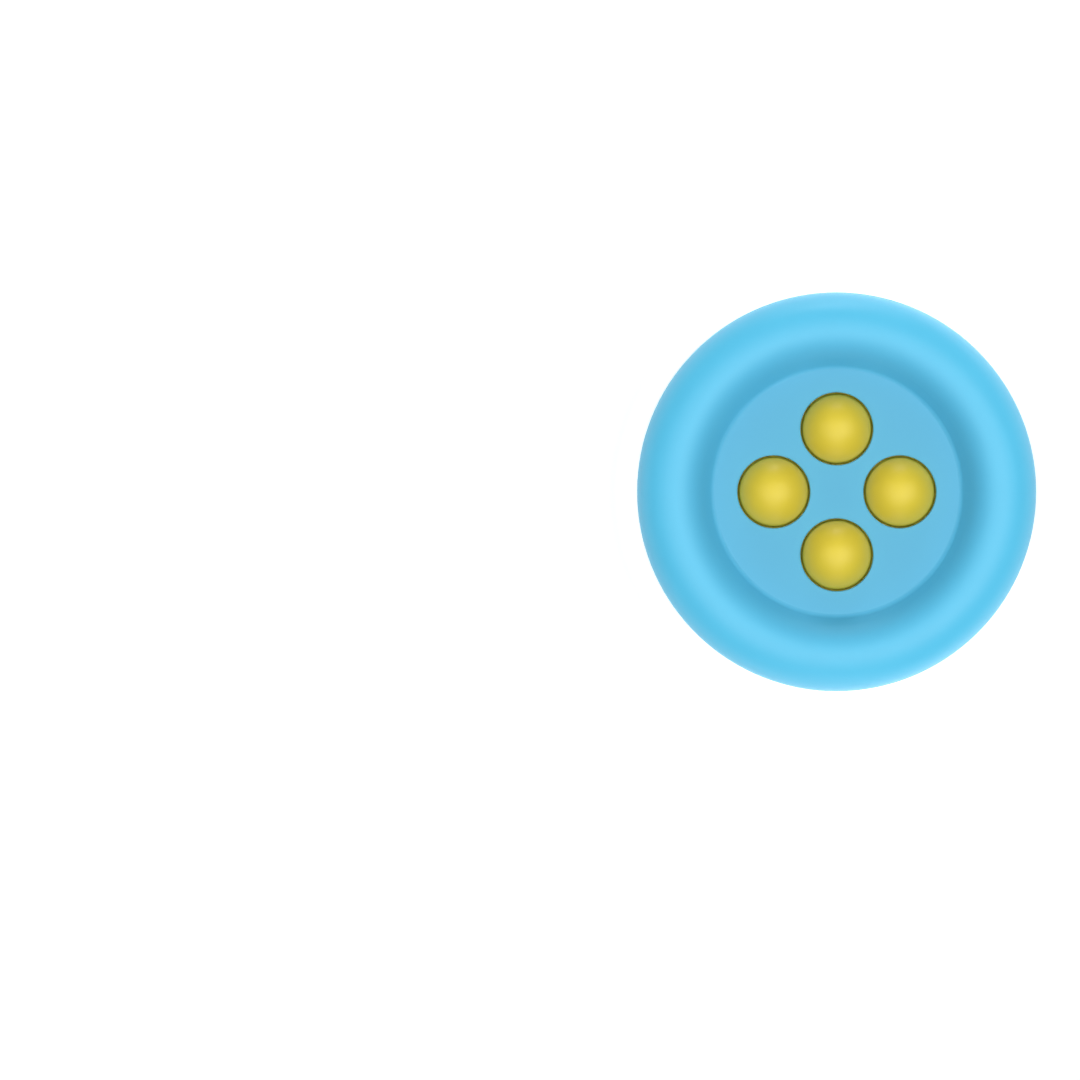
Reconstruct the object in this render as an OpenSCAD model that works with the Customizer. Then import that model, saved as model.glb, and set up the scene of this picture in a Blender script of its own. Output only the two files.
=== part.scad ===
// Button-shaped fidget toy: two hollow shells clamp four soft bubbles by their flanges.
// The toy lies on its back rim. +Z points out of the front face, +Y is the top of the face,
// and the origin is the middle of the flat land that the toy rests on.

/* [Body] */
// Diameter over the round rim
body_d = 80; // [76:1:100]
// Thickness of the rim tube
rim_d = 15; // [14:0.5:18]
// How far the face lies below the crest of the rim
dish_depth = 4.7; // [4:0.1:5.2]
// Slope of the straight flank on the inner side of the rim, in degrees
flank_slope = 49; // [46:1:56]
// Radius of the hollow fillet between that flank and the face
face_fillet_r = 1.2; // [0.8:0.1:2]
// Wall thickness of both shells
wall = 1.8; // [1.4:0.1:2.1]
// Width of the flat land on the back crest
rest_land_w = 3; // [2:0.25:4]
// Depth of the fine groove where the shells meet
seam_depth = 0.25; // [0.1:0.05:0.4]

/* [Bubbles] */
// Diameter of the hole that each bubble stands in
hole_d = 14.6; // [13:0.1:16]
// Chamfer on the edge of each hole
hole_chamfer = 0.15; // [0.05:0.05:0.4]
// Face left between two neighbouring holes
hole_web = 3.25; // [2.75:0.05:4]
// Gap between a bubble's skirt and its hole
hole_gap = 0.35; // [0.25:0.05:0.6]
// How far the crown of a bubble stays below the crest of the rim
crown_drop = 0.4; // [0.3:0.1:1.6]
// Wall thickness of a bubble
bubble_wall = 0.9; // [0.7:0.05:1.2]
// How far below the face a bubble starts to curve inwards
shoulder_drop = 0.8; // [0.4:0.1:1.2]
// Radius of the shoulder between skirt and crown
shoulder_r = 2.5; // [1.6:0.1:2.8]
// Thickness of the flange that the shells clamp
flange_t = 1.2; // [0.8:0.1:1.6]
// Room round the flange in its seat
flange_gap = 0.2; // [0.1:0.05:0.3]
// Wall left between two neighbouring flange seats
seat_web = 0.9; // [0.8:0.1:1.2]

/* [Shell joints] */
// Height of the tongue that laps inside the front shell
tongue_h = 1.2; // [0.8:0.1:1.6]
// Thickness of the tongue
tongue_t = 0.75; // [0.6:0.05:0.9]
// Gap round the tongue and the centre pin, and between facing ribs
lap_gap = 0.12; // [0.08:0.02:0.2]
// Thickness of the stiffening ribs in the rim
rib_t = 1.2; // [0.8:0.1:1.6]
// Room between the tongue and the ends of the front shell's ribs
rib_gap = 0.5; // [0.3:0.1:1]
// Diameter of the centre pin on the front shell
centre_pin_d = 2.6; // [2:0.1:3]
// Wall of the sleeve that takes the centre pin
sleeve_wall = 1.3; // [1:0.1:1.5]

/* [Screws] */
// Diameter of the screw's shank
shank_d = 2.2; // [1.8:0.1:2.6]
// Length of the screw under its head
screw_l = 8; // [7:0.5:8.5]
// Length of the screw's point
point_l = 1.2; // [0.8:0.1:1.6]
// Diameter of the blunt end of the point
point_d = 0.6; // [0.4:0.1:1]
// Diameter of the pan head
head_d = 4.6; // [4:0.1:5]
// Diameter of the flat top of the head
head_top_d = 3.4; // [3:0.1:3.8]
// Height of the head
head_h = 1.7; // [1.4:0.1:1.9]
// Height of the head's straight edge
head_edge_h = 0.9; // [0.6:0.1:1.2]
// Length of the slots of the cross drive
drive_l = 2.6; // [2:0.1:2.8]
// Width of the slots of the cross drive
drive_w = 0.7; // [0.5:0.1:1]
// Depth of the cross drive
drive_depth = 1; // [0.6:0.1:1.2]
// Thickness of the back shell that the head clamps
clamp_t = 3.7; // [3.2:0.1:4.2]
// Gap between the shank and the blind bore that it grips
pilot_gap = 0.03; // [0.02:0.01:0.06]
// Gap between the shank and its hole through the back shell
shank_gap = 0.4; // [0.2:0.05:0.6]
// Gap between the head and its well
head_gap = 0.3; // [0.2:0.05:0.5]
// Room left past the point of the screw
point_gap = 0.6; // [0.3:0.1:0.8]
// Wall of the bosses on the front shell
boss_wall = 1.6; // [1.2:0.1:2]
// Wall of the screw wells on the back shell
well_wall = 1.2; // [0.9:0.1:1.5]

/* [Hidden] */
$fn = 96;
// Overlap that joins the features of one piece
bond = 0.3;
// Run-out of a cutting tool past the face that it cuts
past = 1;
// How far two lines that meet smoothly run into each other
touch = 0.0005;

// Rim and face, with heights measured from the plane between the shells
rim_r = rim_d / 2;
ring_r = body_d / 2 - rim_r;
face_z = rim_r - dish_depth;
fillet_z = face_z + face_fillet_r;
face_r = ring_r - (rim_r + face_fillet_r - fillet_z * cos(flank_slope)) / sin(flank_slope);
cavity_r = rim_r - wall;
plate_z = face_z - wall;
tongue_r = ring_r + cavity_r;

// Height of that plane above the rest land
mid_z = sqrt(pow(rim_r, 2) - pow(rest_land_w / 2, 2));

// Bubbles and their seats
hole_r = hole_d / 2;
pitch_r = (hole_d + hole_web) / sqrt(2);
seat_r = (hole_d + hole_web - seat_web) / 2;
flange_r = seat_r - flange_gap;
flange_z = flange_t / 2;
skirt_r = hole_r - hole_gap;
shoulder_x = skirt_r - shoulder_r;
shoulder_z = face_z - shoulder_drop;
crown_z = rim_r - crown_drop;
crown_angle = 2 * atan((crown_z - shoulder_z - shoulder_r) / shoulder_x);
crown_r = shoulder_r + shoulder_x / sin(crown_angle);
crown_centre_z = crown_z - crown_r;

// Places round the axis: top, right, bottom and left, then the screws and ribs between them
bubble_angles = [90, 0, 270, 180];
screw_angles = [45:90:315];
rib_angles = [22.5:45:337.5];

// Bores for the screws
pilot_r = shank_d / 2 + pilot_gap;
pilot_end_z = screw_l - clamp_t + point_gap;
well_r = head_d / 2 + head_gap;

body_blue = [0.40, 0.72, 0.87];
bubble_yellow = [0.93, 0.83, 0.30];
screw_steel = [0.75, 0.75, 0.77];

// Puts z 0 on the plane between the shells.
module from_mid_plane() { translate([0, 0, mid_z]) children(); }

module at_bubble(angle) { rotate([0, 0, angle]) translate([pitch_r, 0, 0]) children(); }

module at_screws() { for (angle = screw_angles) rotate([0, 0, angle]) translate([ring_r, 0, 0]) children(); }

// Ring with square edges between two heights.
module ring(inner_r, outer_r, low, high) {
    rotate_extrude() translate([inner_r, low]) square([outer_r - inner_r, high - low]);
}

// Upper half of the body's section, drawn inside its true outline by the inset.
module body_section(inset) {
    rim_centre = [ring_r, 0];
    fillet_centre = [face_r, fillet_z];
    off_flank = [-sin(flank_slope), cos(flank_slope)];
    flank_top = rim_centre + (rim_r - inset - touch) * off_flank;
    flank_foot = fillet_centre - (face_fillet_r + inset + touch) * off_flank;
    intersection() {
        union() {
            translate(rim_centre) circle(r = rim_r - inset);
            square([ring_r, face_z - inset]);
            difference() {
                polygon([[face_r, 0], rim_centre, flank_top, flank_foot, fillet_centre]);
                translate(fillet_centre - 2 * touch * off_flank) circle(r = face_fillet_r + inset);
            }
        }
        square([body_d, rim_d]);
    }
}

// V groove along the line where the shells meet, half of it in each shell.
module seam_groove() {
    reach = seam_depth + past;
    outer_r = body_d / 2 + past;
    rotate_extrude() polygon([[body_d / 2 - seam_depth, 0], [outer_r, -reach], [outer_r, reach]]);
}

// Hole for a bubble, chamfered at the face, with the seat for half of the flange.
module bubble_hole() {
    flare = hole_chamfer + past;
    cylinder(r = hole_r, h = rim_r);
    translate([0, 0, face_z - hole_chamfer]) cylinder(r1 = hole_r, r2 = hole_r + flare, h = flare);
    translate([0, 0, -past]) cylinder(r = seat_r, h = past + flange_z);
}

// Web across the hollow of the rim, ending just short of the plane between the shells.
module rim_rib() {
    rotate([90, 0, 0]) linear_extrude(rib_t, center = true) intersection() {
        body_section(wall - bond);
        translate([ring_r - cavity_r, lap_gap / 2]) square([2 * cavity_r + bond, rim_r]);
    }
}

// What both shells share: half of the hollow rim, the plate, the flange seats and the ribs.
module half_casing() {
    difference() {
        union() {
            rotate_extrude() difference() {
                body_section(0);
                body_section(wall);
            }
            for (angle = bubble_angles)
                at_bubble(angle) cylinder(r = seat_r + seat_web, h = plate_z + bond);
            for (angle = rib_angles) rotate([0, 0, angle]) rim_rib();
        }
        for (angle = bubble_angles) at_bubble(angle) bubble_hole();
        seam_groove();
    }
}

// Front half, with the blind screw bosses, the rabbet for the tongue and the centre pin.
module front_shell() {
    color(body_blue) from_mid_plane() {
        difference() {
            union() {
                half_casing();
                at_screws() cylinder(r = pilot_r + boss_wall, h = cavity_r + bond);
            }
            at_screws() translate([0, 0, -past]) cylinder(r = pilot_r, h = past + pilot_end_z);
            ring(tongue_r - rib_gap, tongue_r + tongue_t + lap_gap, -past, tongue_h + lap_gap);
        }
        translate([0, 0, -plate_z]) cylinder(d = centre_pin_d, h = 2 * plate_z + bond);
    }
}

// Back half, with the tongue, the recessed screw wells, the pin's sleeve and the rest land.
module back_shell() {
    sleeve_d = centre_pin_d + 2 * lap_gap;
    color(body_blue) from_mid_plane() difference() {
        union() {
            mirror([0, 0, 1]) half_casing();
            at_screws() translate([0, 0, -cavity_r - bond]) cylinder(r = well_r + well_wall, h = cavity_r + bond);
            ring(tongue_r, tongue_r + tongue_t, -bond, tongue_h);
            translate([0, 0, -plate_z - bond]) cylinder(d = sleeve_d + 2 * sleeve_wall, h = plate_z + bond);
        }
        at_screws() translate([0, 0, -rim_d]) {
            cylinder(d = shank_d + 2 * shank_gap, h = rim_d + past);
            cylinder(r = well_r, h = rim_d - clamp_t);
        }
        translate([0, 0, -plate_z]) cylinder(d = sleeve_d, h = plate_z + past);
        translate([0, 0, -mid_z - rim_d]) cylinder(d = body_d, h = rim_d);
    }
}

// Section of a bubble's dome: a round crown on a rounded shoulder on a straight skirt.
module dome_section(inset) {
    reach = 2 * crown_r;
    translate([0, crown_centre_z]) intersection() {
        circle(r = crown_r - inset);
        polygon([[0, 0], [0, reach], [reach * tan(crown_angle), reach]]);
    }
    translate([shoulder_x, shoulder_z] + touch * [sin(crown_angle), cos(crown_angle)])
        circle(r = shoulder_r - inset);
    translate([0, -rim_r]) square([skirt_r - inset, rim_r + shoulder_z]);
}

// Thin dome with the flange that the shells clamp.
module bubble(angle) {
    color(bubble_yellow) from_mid_plane() at_bubble(angle) rotate_extrude() difference() {
        union() {
            intersection() {
                dome_section(0);
                square([flange_r, rim_d]);
            }
            translate([0, -flange_z]) square([flange_r, flange_t]);
        }
        intersection() {
            dome_section(bubble_wall);
            translate([0, -rim_r]) square([flange_r, rim_d + rim_r]);
        }
    }
}

// One pan-head screw with a cross drive, its head's seat at z 0 and its point upwards.
module screw() {
    body_l = screw_l - point_l;
    difference() {
        union() {
            translate([0, 0, -head_h]) cylinder(d1 = head_top_d, d2 = head_d, h = head_h - head_edge_h);
            translate([0, 0, -head_edge_h]) cylinder(d = head_d, h = head_edge_h);
            cylinder(d = shank_d, h = body_l);
            translate([0, 0, body_l]) cylinder(d1 = shank_d, d2 = point_d, h = point_l);
        }
        for (turn = [0, 90]) rotate([0, 0, turn]) translate([-drive_l / 2, -drive_w / 2, -head_h - past])
            cube([drive_l, drive_w, past + drive_depth]);
    }
}

// The four screws, each with its head at the bottom of a well in the back shell.
module case_screws() {
    color(screw_steel) from_mid_plane() at_screws() translate([0, 0, -clamp_t]) screw();
}

front_shell();
back_shell();
bubble(bubble_angles[0]);  // bubble_top
bubble(bubble_angles[1]);  // bubble_right
bubble(bubble_angles[2]);  // bubble_bottom
bubble(bubble_angles[3]);  // bubble_left
case_screws();
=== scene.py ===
"""Button-shaped fidget toy: a blue moulded casing whose four yellow bubbles pop through its sunken face."""

import math

import bpy
import numpy as np
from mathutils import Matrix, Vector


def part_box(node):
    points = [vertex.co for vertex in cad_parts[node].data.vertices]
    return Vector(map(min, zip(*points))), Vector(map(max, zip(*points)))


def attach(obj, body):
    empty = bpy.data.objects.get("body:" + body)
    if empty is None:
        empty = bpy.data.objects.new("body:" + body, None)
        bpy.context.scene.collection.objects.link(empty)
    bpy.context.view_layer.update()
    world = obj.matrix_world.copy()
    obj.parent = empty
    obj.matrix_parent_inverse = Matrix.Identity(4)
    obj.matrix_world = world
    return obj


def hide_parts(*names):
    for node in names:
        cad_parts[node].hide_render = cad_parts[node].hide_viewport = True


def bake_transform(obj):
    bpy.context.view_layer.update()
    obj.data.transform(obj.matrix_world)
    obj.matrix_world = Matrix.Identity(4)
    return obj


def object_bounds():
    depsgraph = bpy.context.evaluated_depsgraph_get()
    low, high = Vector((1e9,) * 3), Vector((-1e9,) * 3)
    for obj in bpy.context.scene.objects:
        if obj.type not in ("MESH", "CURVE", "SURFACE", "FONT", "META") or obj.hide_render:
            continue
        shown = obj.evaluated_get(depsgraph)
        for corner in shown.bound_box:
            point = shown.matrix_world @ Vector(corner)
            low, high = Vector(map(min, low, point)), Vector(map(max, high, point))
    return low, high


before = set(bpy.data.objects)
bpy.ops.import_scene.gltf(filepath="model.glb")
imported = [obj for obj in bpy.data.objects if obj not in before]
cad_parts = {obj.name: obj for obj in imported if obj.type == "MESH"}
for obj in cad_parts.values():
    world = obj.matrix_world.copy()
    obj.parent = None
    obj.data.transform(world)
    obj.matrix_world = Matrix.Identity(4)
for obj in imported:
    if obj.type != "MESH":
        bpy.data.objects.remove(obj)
cad_low, cad_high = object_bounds()

MM = 0.001


def node_box(node):
    """Lowest and highest corner of a node of the frame, in millimetres."""
    return [np.array(corner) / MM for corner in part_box(node)]


# Casing, in millimetres, which lies on the floor at height 0
TOY_R = cad_high[0] / MM
RIM_R = 7.5
CREST_R = TOY_R - RIM_R
# Painted shade of the recess: the face's tone ends at FACE_R, blended over FACE_EDGE each way, and the
# flank's darker tone fades from FLANK_FADE_R to the crest
FACE_R = 24.65
FACE_EDGE = 0.3
FLANK_FADE_R = 27.5

# Bubbles, in millimetres and degrees: the flange comes from the frame, and other heights are above its middle
FLANGE_LOW, CROWN = node_box("bubble_right")
FLANGE_R = (CROWN[1] - FLANGE_LOW[1]) / 2
PITCH_R = CROWN[0] - FLANGE_R
FLANGE_Z = 0.6
MID_Z = FLANGE_LOW[2] + FLANGE_Z
CROWN_Z = CROWN[2] - MID_Z
# The painted shade on a bubble's sides deepens from its axis out to CROWN_FADE_R
CROWN_FADE_R = 5.56
WALL = 0.9
SKIRT_R = 6.95
SKIRT_LEAN = 0.05
SKIRT_ROUND = 0.25
SHOULDER_R = 2.5
SHOULDER_Z = 2.0
SHOULDER_END = 4
BUBBLE_SIDES = {"top": 90, "right": 0, "bottom": 270, "left": 180}

# How many points the curves of a bubble's side have, how many more are spread over it, and how many go round
CROWN_POINTS = 40
SHOULDER_POINTS = 20
FOOT_POINTS = 8
SPREAD_POINTS = 24
BUBBLE_COLUMNS = 112

# Screws, in millimetres, with heights above the seat of the head, which lies below the point
SCREW_LOW, SCREW_HIGH = node_box("case_screws")
SCREW_ANGLES = (45, 135, 225, 315)
SCREW_COLUMNS = 48
HEAD_R = 2.3
HEAD_TOP_R = 1.7
HEAD_H = 1.7
HEAD_EDGE_H = 0.9
HEAD_EDGE = 0.1
HEAD_POINTS = 10
SEAT_Z = SCREW_LOW[2] + HEAD_H
SCREW_L = SCREW_HIGH[2] - SEAT_Z
POINT_L = 1.2
POINT_R = 0.3
CORE_R = 0.82
CORE_POINTS = 12
FLARE = 0.3

# Screw thread, in millimetres, with its steps in each turn and the turns over which it rises and sinks
THREAD_H = 0.28
THREAD_ROOT = 0.06
THREAD_PITCH = 0.8
THREAD_WIDTH = 0.42
THREAD_LOW = 0.6
THREAD_RUN_OUT = 0.3
THREAD_HIGH = SCREW_L - THREAD_RUN_OUT
THREAD_STEPS = 40
THREAD_FADE_TURNS = 0.6

# Cross recess in a screw's head, in millimetres, from the land round it to its middle
DRIVE_HALF_W = 0.35
DRIVE_DRAFT = 0.05
DRIVE_DEPTH = 1.0
DRIVE_LAND_R = 1.5
DRIVE_R = 1.3
DRIVE_END_R = 1.18
DRIVE_BETWEEN_R = (0.9, 0.7)
DRIVE_HEART_R = 0.5
DRIVE_CORE_R = 0.38
DRIVE_TIP_R = 0.2

# Shares of the recess's depth, shares of an eighth of a turn, and the largest sines of half a wing's angle
END_DEPTH = 0.65
CORE_DEPTH = 0.95
FLOOR_SHARE = 1 / 2
BRINK_SHARE = 2 / 3
BRINK_SINE = 0.64
BASE_SINE = 0.58

# Edges that bend by more degrees than this stay sharp
SHARP_ANGLE = 40

# Photograph's view, in its own pixels, and the camera that has it, in millimetres, with its clip in metres
FRAME_PX = 1080
TOY_PX = (836.6, 491.8)
TOY_R_PX = 199.6
CAMERA_HEIGHT = 4000.0
CAMERA_CLIP = (0.1, 100.0)
SENSOR = 36.0

# Pairs of colours between which each finish drifts
RIM_BLUE = (0.093, 0.560, 0.848, 1), (0.098, 0.580, 0.868, 1)
# The flank's and face's pairs are painted shade of the recess, darker than the rim's
FLANK_SHADE_BLUE = (0.078, 0.455, 0.715, 1), (0.082, 0.465, 0.725, 1)
FACE_SHADE_BLUE = (0.090, 0.460, 0.703, 1), (0.094, 0.470, 0.713, 1)
# The crown's pair is lighter and the skirt's darker: painted shade on each bubble's sloping sides
CROWN_LIT_YELLOW = (0.785, 0.625, 0.038, 1), (0.815, 0.645, 0.042, 1)
SKIRT_SHADE_YELLOW = (0.670, 0.527, 0.040, 1), (0.700, 0.547, 0.044, 1)
ZINC = (0.50, 0.50, 0.52, 1), (0.62, 0.62, 0.62, 1)
PALE = (0.93, 0.93, 0.93, 1), (0.94, 0.94, 0.94, 1)
BLACK = (0, 0, 0, 1)
DIM = (0.087, 0.087, 0.087, 1)
WHITE = (1, 1, 1, 1)

# Roughness of each finish and how far its grain spreads it, and how much rougher the flank is
PLASTIC_ROUGH = (0.42, 0.10)
SILICONE_ROUGH = (0.38, 0.12)
ZINC_ROUGH = (0.33, 0.14)
FLANK_ROUGHER = 0.13

# Soft lights far away: azimuth from +X, elevation and apparent width in degrees, and strength
LIGHTS = {
    "overhead": (0, 90, 60, 0.79),
    "right_side": (0, 62, 50, 0.92),
    "left_side": (180, 62, 50, 0.42),
    "far_side": (90, 62, 50, 0.10),
    "near_side": (270, 62, 50, 0.65),
    "far_low": (90, 8, 24, 0.73),
    "near_low": (270, 8, 24, 0.29),
}
AMBIENT = 0.152

# Floor, in millimetres: its glow starts under the toy's edge, is full just outside it, and fades further out
FLOOR_HALF = 8000.0
FLOOR_GLOW = 1.5
GLOW_START = 38.0
GLOW_FULL = 42.0
GLOW_FADE = 60.0
GLOW_END = 120.0
EDGE_END = 45.0
# Shares of the glow along the toy's edge and on its shaded side: painted light that fills in the toy's shadow
EDGE_SHARE = 0.26
SHADED_SHARE = 0.26

# Sockets of a Mix node that hold colours: its two inputs and its output
MIX_FIRST = 6
MIX_SECOND = 7
MIX_RESULT = 2


class Shade:
    """A socket of a shader tree. Arithmetic on it adds Math nodes, and make() adds any other node."""

    def __init__(self, tree, socket=None):
        self.tree = tree
        self.socket = socket

    def make(self, kind, settings=None, inputs=None, output=0):
        """Adds a node of that type: its settings first, then the value or link of each named socket."""
        node = self.tree.nodes.new(kind)
        for name, value in (settings or {}).items():
            setattr(node, name, value)
        for name, value in (inputs or {}).items():
            if isinstance(value, Shade):
                self.tree.links.new(value.socket, node.inputs[name])
            else:
                node.inputs[name].default_value = value
        return Shade(self.tree, node.outputs[output] if node.outputs else None)

    def maths(self, operation, *values):
        """A Math node on these values."""
        return self.make("ShaderNodeMath", {"operation": operation}, dict(enumerate(values)))

    def __add__(self, other):
        return self.maths("ADD", self, other)

    def __radd__(self, other):
        return self.maths("ADD", other, self)

    def __sub__(self, other):
        return self.maths("SUBTRACT", self, other)

    def __rsub__(self, other):
        return self.maths("SUBTRACT", other, self)

    def __mul__(self, other):
        return self.maths("MULTIPLY", self, other)

    def __rmul__(self, other):
        return self.maths("MULTIPLY", other, self)

    def vector(self, operation, *values, output=0):
        """A Vector Math node on these vectors."""
        return self.make("ShaderNodeVectorMath", {"operation": operation}, dict(enumerate(values)), output)

    def part(self, axis):
        """The vector's part along X, Y or Z."""
        return self.make("ShaderNodeSeparateXYZ", None, {0: self}, axis)

    def step(self, low, high):
        """Rises smoothly from 0 at low to 1 at high."""
        inputs = {"Value": self, "From Min": low, "From Max": high}
        return self.make("ShaderNodeMapRange", {"interpolation_type": "SMOOTHSTEP"}, inputs)

    def mix(self, first, second):
        """Colour that is first where this value is 0, and second where it is 1."""
        inputs = {"Factor": self, MIX_FIRST: first, MIX_SECOND: second}
        return self.make("ShaderNodeMix", {"data_type": "RGBA"}, inputs, MIX_RESULT)

    def noise(self, size, detail=2.0):
        """Noise about 0.5, with features of that size in millimetres, at this place."""
        inputs = {"Vector": self, "Scale": 1 / (size * MM), "Detail": detail}
        return self.make("ShaderNodeTexNoise", None, inputs)

    def spread(self, middle, width):
        """This noise about 0.5, brought to lie about middle with its swing times width."""
        return middle + (self - 0.5) * width

    def bump(self, strength, depth):
        """Normal of a surface with this value as its relief, as deep as given in millimetres."""
        inputs = {"Height": self, "Strength": strength, "Distance": depth * MM}
        return self.make("ShaderNodeBump", None, inputs)


def new_material(name):
    """An empty material, a Shade of its tree, and the place on the object in metres."""
    material = bpy.data.materials.new(name)
    material.use_nodes = True
    material.node_tree.nodes.clear()
    tree = Shade(material.node_tree)
    return material, tree, tree.make("ShaderNodeTexCoord", output="Object")


def surface(tree, **sockets):
    """Joins one Principled shader with these sockets to the material's output."""
    names = {name.replace("_", " "): value for name, value in sockets.items()}
    shader = tree.make("ShaderNodeBsdfPrincipled", None, names)
    tree.make("ShaderNodeOutputMaterial", None, {"Surface": shader})


def satin_plastic():
    """Blue moulded plastic: a satin rim with a fine grain all over. Its flank is painted darker, as
    painted shade in the recess, towards a face that is paler than the flank but still painted a shade darker
    than the rim. Each part is told by its distance from the toy's axis."""
    material, tree, place = new_material("satin_blue_plastic")
    flat = place.vector("MULTIPLY", place, (1, 1, 0))
    radius = flat.vector("LENGTH", flat, output="Value")
    # flank and face mask the painted shade of the recess; flank also makes the flank rougher
    flank = 1 - radius.step(FLANK_FADE_R * MM, CREST_R * MM)
    face = 1 - radius.step((FACE_R - FACE_EDGE) * MM, (FACE_R + FACE_EDGE) * MM)
    flow = place.noise(size=14.0, detail=3.0)
    colour = face.mix(flank.mix(flow.mix(*RIM_BLUE), flow.mix(*FLANK_SHADE_BLUE)), flow.mix(*FACE_SHADE_BLUE))
    grain = place.noise(size=0.22)
    rough = grain.spread(*PLASTIC_ROUGH) + flank * FLANK_ROUGHER
    relief = grain.bump(strength=0.12, depth=0.02)
    surface(tree, Base_Color=colour, Roughness=rough, Normal=relief)
    return material


def soft_silicone():
    """Yellow silicone rubber: semi-matte, faintly cloudy, with a fine skin, and painted darker away from
    each bubble's crown, as painted shade on its sloping sides. The nearest bubble lies along the larger of
    |x| and |y|, so its axis is PITCH_R along that."""
    material, tree, place = new_material("yellow_silicone")
    aside = place.vector("ABSOLUTE", place)
    x, y = aside.part("X"), aside.part("Y")
    along = place.maths("MAXIMUM", x, y) - PITCH_R * MM
    across = place.maths("MINIMUM", x, y)
    # skirt masks the painted shade on the bubble's sides, none at its axis
    skirt = place.maths("SQRT", along * along + across * across).step(0, CROWN_FADE_R * MM)
    cloud = place.noise(size=5.0, detail=3.0)
    colour = skirt.mix(cloud.mix(*CROWN_LIT_YELLOW), cloud.mix(*SKIRT_SHADE_YELLOW))
    skin = place.noise(size=0.18)
    rough = skin.spread(*SILICONE_ROUGH)
    relief = skin.bump(strength=0.10, depth=0.02)
    surface(tree, Base_Color=colour, Roughness=rough, Specular_IOR_Level=0.4, Normal=relief)
    return material


def zinc_steel():
    """Bright zinc plating with a slightly cloudy shine and a fine grain."""
    material, tree, place = new_material("zinc_steel")
    cloud = place.noise(size=0.8, detail=3.0)
    rough = cloud.spread(*ZINC_ROUGH)
    relief = place.noise(size=0.06).bump(strength=0.15, depth=0.01)
    surface(tree, Base_Color=cloud.mix(*ZINC), Roughness=rough, Metallic=1.0, Normal=relief)
    return material


def arc(centre, radius, start, end, count):
    """Points on a circle's arc, from one angle in degrees to another, as rows of radius and height."""
    angle = np.radians(np.linspace(start, end, count))
    return np.stack([centre[0] + radius * np.cos(angle), centre[1] + radius * np.sin(angle)], 1)


def bubble_side(inset, flange):
    """One side of a bubble from its axis to its flange's edge: a crown arc, a shoulder arc tangent to it, a
    skirt that leans out a little, and an arc round the corner to the level flange. The crown arc turns by
    twice atan(h / x), where the shoulder arc's centre is x from the axis and its top h below the crown. The
    inset is the wall's thickness on the back, and flange is the flange's height on that side."""
    shoulder_x = SKIRT_R - SKIRT_LEAN - SHOULDER_R
    half = math.atan((CROWN_Z - SHOULDER_Z - SHOULDER_R) / shoulder_x)
    bend = 90 - math.degrees(2 * half)
    crown_r = SHOULDER_R + shoulder_x / math.sin(2 * half)
    foot = SKIRT_R - inset
    return np.concatenate([
        arc((0, CROWN_Z - crown_r), crown_r - inset, 90, bend, CROWN_POINTS),
        arc((shoulder_x, SHOULDER_Z), SHOULDER_R - inset, bend, SHOULDER_END, SHOULDER_POINTS),
        arc((foot + SKIRT_ROUND, flange + SKIRT_ROUND), SKIRT_ROUND, 180, 270, FOOT_POINTS),
        [[FLANGE_R, flange]],
    ])


def bubble_sections():
    """Heights of a bubble's front and back over one row of radii, which holds the corners of both."""
    front = bubble_side(0, FLANGE_Z)
    back = bubble_side(WALL, -FLANGE_Z)
    spread = np.linspace(0, FLANGE_R, SPREAD_POINTS)
    radii = np.unique(np.round(np.concatenate([front[:, 0], back[:, 0], spread]), decimals=3))
    return radii, np.interp(radii, *front.T), np.interp(radii, *back.T)


def turned(radius, angle, height, centre=(0, 0)):
    """Grid of points at those radii, angles and heights about the vertical axis through the centre."""
    radius, angle, height = np.broadcast_arrays(radius, angle, height)
    return np.stack([centre[0] + radius * np.cos(angle), centre[1] + radius * np.sin(angle), height], -1)


def closed_skin(grid, ends):
    """Points of a closed surface over a grid of points, and its faces: an array of quads and one of
    triangles. The columns go round each row and join up, and a fan to one point closes each end, so no seam
    or hole is left. Rows that go down have columns that go round anticlockwise, seen from above."""
    rows, columns = grid.shape[:2]
    points = np.concatenate([grid.reshape(-1, 3), ends])
    here = np.arange(rows * columns).reshape(rows, columns)
    after = np.roll(here, -1, 1)
    sides = np.stack([here[:-1], here[1:], after[1:], after[:-1]], -1).reshape(-1, 4)
    first = np.full(columns, rows * columns)
    last = first + 1
    first_fan = np.stack([first, here[0], after[0]], -1)
    last_fan = np.stack([last, after[-1], here[-1]], -1)
    return points, [sides, np.concatenate([first_fan, last_fan])]


def new_piece(name, points, faces, material):
    """A mesh object at the origin, from points in millimetres and arrays of faces, smooth but for sharp
    edges."""
    mesh = bpy.data.meshes.new(name)
    mesh.from_pydata((points * MM).tolist(), [], sum([block.tolist() for block in faces], []))
    mesh.shade_smooth()
    mesh.set_sharp_from_angle(angle=math.radians(SHARP_ANGLE))
    mesh.materials.append(material)
    piece = bpy.data.objects.new(name, mesh)
    bpy.context.scene.collection.objects.link(piece)
    return piece


def around(angle, radius):
    """Place at that angle in degrees and that distance from the toy's axis."""
    return radius * math.cos(math.radians(angle)), radius * math.sin(math.radians(angle))


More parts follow.
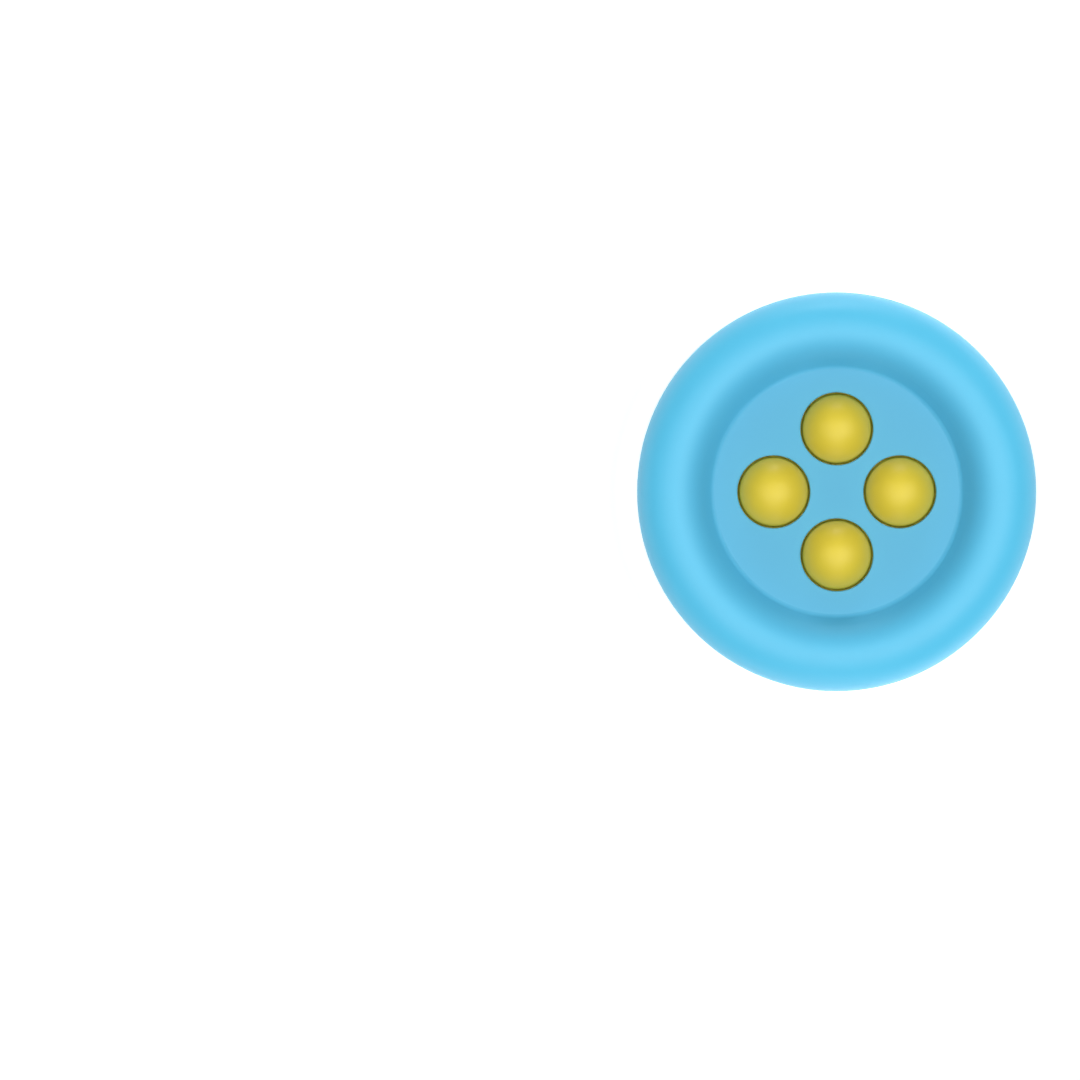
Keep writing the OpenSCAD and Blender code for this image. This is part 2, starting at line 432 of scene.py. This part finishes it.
def bubble(side, material):
    """One bubble, which turns inside out when it pops. Here it is drawn at rest, as a closed skin of its
    front and back turned about its axis, and the frame's bubble is hidden in its place."""
    centre = around(BUBBLE_SIDES[side], PITCH_R)
    radii, front, back = bubble_sections()
    there_and_back = np.concatenate([radii[1:], radii[:0:-1]])[:, None]
    height = MID_Z + np.concatenate([front[1:], back[:0:-1]])[:, None]
    turn = np.linspace(0, 2 * np.pi, BUBBLE_COLUMNS, endpoint=False)
    ends = [[*centre, MID_Z + front[0]], [*centre, MID_Z + back[0]]]
    skin = closed_skin(turned(there_and_back, turn, height, centre), ends)
    piece = new_piece(f"bubble_skin_{side}", *skin, material)
    node = f"bubble_{side}"
    foot = (centre[0] * MM, centre[1] * MM, MID_Z * MM)
    crown = (centre[0] * MM, centre[1] * MM, (MID_Z + CROWN_Z) * MM)
    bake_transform(piece)
    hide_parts(node)


def screw_body():
    """Grid of a screw without its thread, turned from its point down: a tapered point, the core, a flare
    under the head, and the pan head with its seat, edge and rounded top, whose radius and depth follow a
    quarter ellipse."""
    core = np.linspace(SCREW_L - POINT_L, FLARE, CORE_POINTS)
    dome = arc((0, 0), 1, 0, -90, HEAD_POINTS) * [HEAD_R - HEAD_TOP_R, HEAD_H - HEAD_EDGE_H]
    profile = np.concatenate([
        [[POINT_R, SCREW_L]],
        np.stack([np.full(CORE_POINTS, CORE_R), core], 1),
        [[CORE_R + FLARE, 0], [HEAD_R - HEAD_EDGE, 0], [HEAD_R, -HEAD_EDGE]],
        dome + [HEAD_TOP_R, -HEAD_EDGE_H],
    ])
    turn = np.linspace(0, 2 * np.pi, SCREW_COLUMNS, endpoint=False) - np.pi / 4
    return turned(profile[:, :1], turn, profile[:, 1:])


def screw_drive():
    """Grid of the head's top with its cross recess, from the outside in. In each quarter the columns go
    from the middle of a wing to both sides, over its floor, up its wall and over the land. The wall's base
    and brink are at the angle asin(half width / radius) from the wing's middle, kept short of the next
    wing. The floor slopes down to the middle of the head."""
    rows = [DRIVE_LAND_R, DRIVE_R, DRIVE_END_R, *DRIVE_BETWEEN_R, DRIVE_HEART_R, DRIVE_CORE_R, DRIVE_TIP_R]
    radius = np.array(rows)[:, None]
    across = np.linspace(-1, 1, SCREW_COLUMNS // 4, endpoint=False)
    share = np.abs(across)
    base = np.arcsin(np.minimum((DRIVE_HALF_W - DRIVE_DRAFT) / radius, BASE_SINE))
    brink = np.arcsin(np.minimum(DRIVE_HALF_W / radius, BRINK_SINE))
    floor = np.clip(share / FLOOR_SHARE, 0, 1)
    wall = np.clip((share - FLOOR_SHARE) / (BRINK_SHARE - FLOOR_SHARE), 0, 1)
    land = np.clip((share - BRINK_SHARE) / (1 - BRINK_SHARE), 0, 1)
    turn = (base * floor + (brink - base) * wall + (np.pi / 4 - brink) * land) * np.sign(across)
    wing = np.interp(radius, [0, DRIVE_CORE_R, DRIVE_END_R, DRIVE_R], [1, CORE_DEPTH, END_DEPTH, 0])
    corner = np.interp(radius, [0, DRIVE_CORE_R, DRIVE_HEART_R], [1, CORE_DEPTH, 0])
    on_floor = share < (FLOOR_SHARE + BRINK_SHARE) / 2
    depth = DRIVE_DEPTH * np.where(on_floor, wing, corner)
    quarters = np.concatenate([turn + quarter * np.pi / 2 for quarter in range(4)], 1)
    return turned(radius, quarters, np.tile(depth, 4) - HEAD_H)


def screw_thread():
    """Grid of a screw's thread: a three-cornered ridge carried up a helix round the core, which it follows
    along the point. Its crest rises out of the core at the first turn and sinks into it at the last."""
    turns = (THREAD_HIGH - THREAD_LOW) / THREAD_PITCH
    along = np.linspace(0, 1, int(turns * THREAD_STEPS))[:, None]
    grown = np.clip(np.minimum(along, 1 - along) * turns / THREAD_FADE_TURNS, 0, 1)
    out = grown * [THREAD_H + THREAD_ROOT, 0, 0] - THREAD_ROOT
    middle = THREAD_LOW + (THREAD_HIGH - THREAD_LOW) * along
    height = middle + grown * [0, THREAD_WIDTH / 2, -THREAD_WIDTH / 2]
    core = np.interp(height, [SCREW_L - POINT_L, SCREW_L], [CORE_R, POINT_R])
    return turned(core + out, 2 * np.pi * turns * along, height)


def screws(material):
    """The four self-tapping screws, points upwards, each with a closed skin of its body and one of its
    thread."""
    body = np.concatenate([screw_body(), screw_drive()])
    thread = screw_thread()
    skins = [
        closed_skin(body, [[0, 0, SCREW_L], [0, 0, DRIVE_DEPTH - HEAD_H]]),
        closed_skin(thread, thread[[0, -1]].mean(1)),
    ]
    points, faces = [], []
    for angle in SCREW_ANGLES:
        for skin, blocks in skins:
            before = sum(map(len, points))
            points.append(skin + [*around(angle, CREST_R), SEAT_Z])
            faces += [before + block for block in blocks]
    piece = new_piece("self_tapping_screws", np.concatenate(points), faces, material)
    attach(piece, "housing")
    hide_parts("case_screws")


def dress(node, material):
    """Gives a node of the frame a material of this scene."""
    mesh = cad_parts[node].data
    mesh.materials.clear()
    mesh.materials.append(material)


def make_floor():
    """A plain pale floor, well past the view from any side. It glows a little outside the toy, as painted
    light that fills in the toy's shadow on it and brightens the toy's edges: in a narrow ring along the toy's
    edge, more so on its shaded side, and further out beyond its near and far ends. Over the unit circle that
    is (1 - x) / 2 for the shaded side and y^2 (1 + x) / 2 for the ends."""
    material, tree, place = new_material("pale_floor")
    reach = place.vector("LENGTH", place, output="Value")
    outside = reach.step(GLOW_START * MM, GLOW_FULL * MM)
    near = 1 - reach.step(GLOW_FADE * MM, GLOW_END * MM)
    edge = 1 - reach.step(TOY_R * MM, EDGE_END * MM)
    away = place.vector("NORMALIZE", place)
    x, y = away.part("X"), away.part("Y")
    ends = y * y * (1 + x) * 0.5
    shaded = (1 - x) * 0.5
    share = ends * near + edge * (EDGE_SHARE + shaded * SHADED_SHARE)
    glow = outside.mix(BLACK, share.mix(DIM, WHITE))
    pale = place.noise(size=400.0).mix(*PALE)
    surface(tree, Base_Color=pale, Roughness=0.8, Emission_Color=glow, Emission_Strength=FLOOR_GLOW)
    corners = FLOOR_HALF * np.array([[-1, -1, 0], [1, -1, 0], [1, 1, 0], [-1, 1, 0]])
    new_piece("floor", corners, [np.array([[0, 1, 2, 3]])], material)


def make_camera():
    """Looks straight down from far above, so that the toy has the photograph's place and size in the frame.
    The lens is the sensor's width times the toy's share of the frame, times its distance over its
    radius."""
    data = bpy.data.cameras.new("camera")
    data.sensor_width = SENSOR
    data.lens = SENSOR * TOY_R_PX / FRAME_PX * (CAMERA_HEIGHT - MID_Z) / TOY_R
    data.clip_start, data.clip_end = CAMERA_CLIP
    camera = bpy.data.objects.new("camera", data)
    pixel = TOY_R / TOY_R_PX
    aside = (FRAME_PX / 2 - TOY_PX[0]) * pixel
    up = (TOY_PX[1] - FRAME_PX / 2) * pixel
    camera.location = (aside * MM, up * MM, CAMERA_HEIGHT * MM)
    bpy.context.scene.collection.objects.link(camera)
    bpy.context.scene.camera = camera


def make_lights():
    """Wide far lights from above and from the sides, and an even glow from all around."""
    for name, (azimuth, elevation, width, strength) in LIGHTS.items():
        data = bpy.data.lights.new(name, "SUN")
        data.energy = strength
        data.angle = math.radians(width)
        light = bpy.data.objects.new(name, data)
        light.rotation_euler = (0, math.radians(90 - elevation), math.radians(azimuth))
        bpy.context.scene.collection.objects.link(light)
    world = bpy.data.worlds.new("studio")
    world.use_nodes = True
    sky = world.node_tree.nodes["Background"].inputs
    sky["Color"].default_value = WHITE
    sky["Strength"].default_value = AMBIENT
    bpy.context.scene.world = world


bpy.context.scene.view_settings.view_transform = "Standard"
make_camera()
make_floor()
make_lights()

plastic = satin_plastic()
silicone = soft_silicone()
for shell in ("front_shell", "back_shell"):
    dress(shell, plastic)
for side in BUBBLE_SIDES:
    bubble(side, silicone)
screws(zinc_steel())
